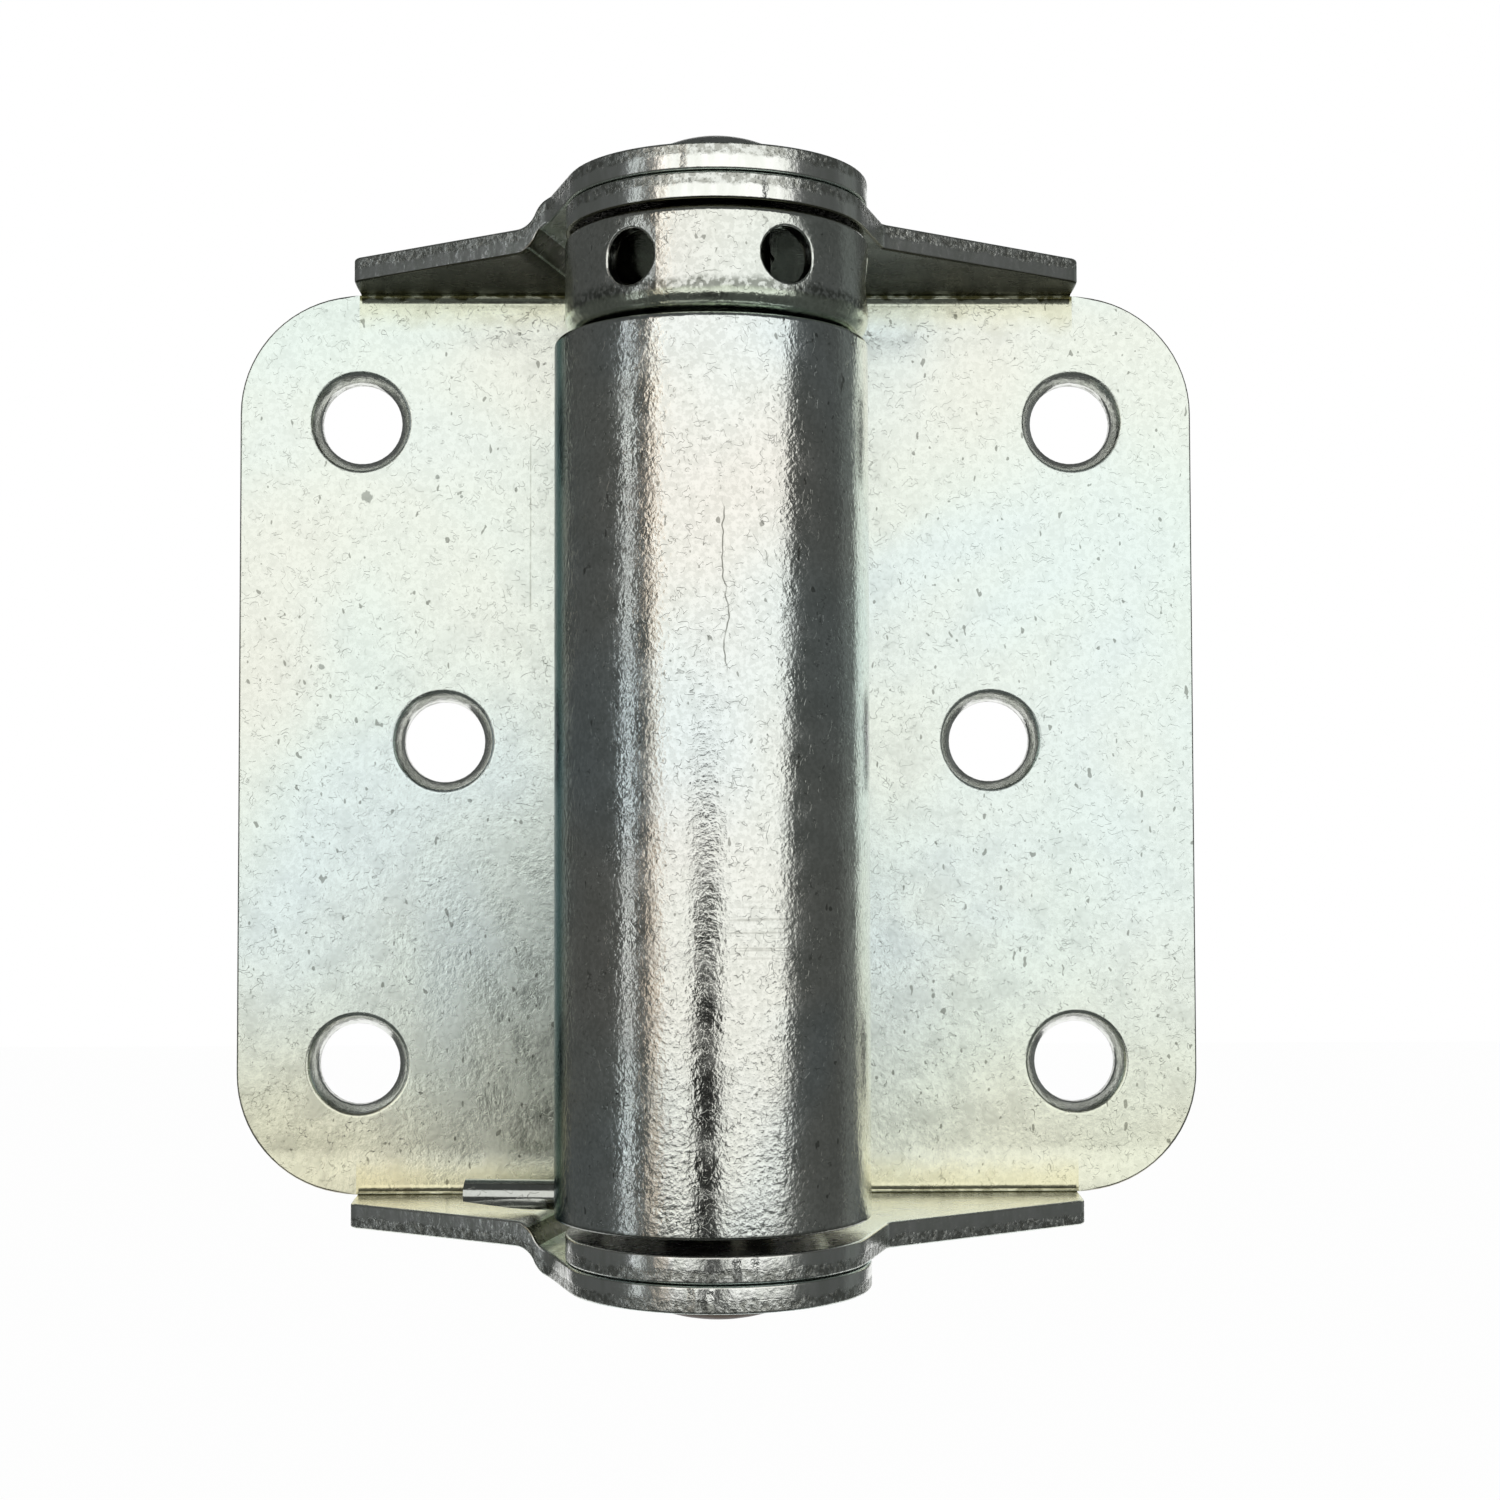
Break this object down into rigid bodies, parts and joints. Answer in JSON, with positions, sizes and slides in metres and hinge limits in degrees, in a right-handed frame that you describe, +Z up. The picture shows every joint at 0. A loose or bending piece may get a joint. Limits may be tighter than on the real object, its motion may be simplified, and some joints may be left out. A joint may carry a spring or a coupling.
{
  "type": "spring door hinge",
  "caption": "Self-closing door hinge: two folded steel leaves on a riveted pin, with a torsion spring in a barrel and a tension collar with holes round it.",
  "frame": {"origin": "on the mounting plane of the leaves' backs, between the leaves and level with the middle of the pin", "axes": "+X from the frame leaf to the door leaf, +Y into the door and frame, +Z up the pin to the collar's end"},
  "size_m": [0.0762, 0.0312, 0.0849],
  "materials": {
    "leaf_steel": "bright zinc plate with a faint yellow and green passivate tint",
    "pin_steel": "bright zinc plate",
    "barrel_steel": "bright zinc plate, finely speckled",
    "collar_steel": "bright zinc plate, finely speckled",
    "spring_wire": "drawn wire, zinc plated"
  },
  "bodies": {
    "frame_side": {"frame_leaf": "leaf_steel", "hinge_pin": "pin_steel", "spring_barrel": "barrel_steel", "torsion_spring": "spring_wire"},
    "door_side": {"door_leaf": "leaf_steel"},
    "collar": {"tension_collar": "collar_steel"}
  },
  "joints": [
    {"name": "door_swing", "type": "hinge", "parent": "frame_side", "child": "door_side", "pos_m": [0, -0.0199, 0], "axis": [0, 0, -1], "range_deg": [0, 180], "stiffness_Nm_per_rad": 0.33, "deforming": ["torsion_spring"]},
    {"name": "collar_winding", "type": "hinge", "parent": "door_side", "child": "collar", "pos_m": [0, -0.0199, 0.0325], "axis": [0, 0, -1], "range_deg": [0, 360], "deforming": ["torsion_spring"]}
  ]
}
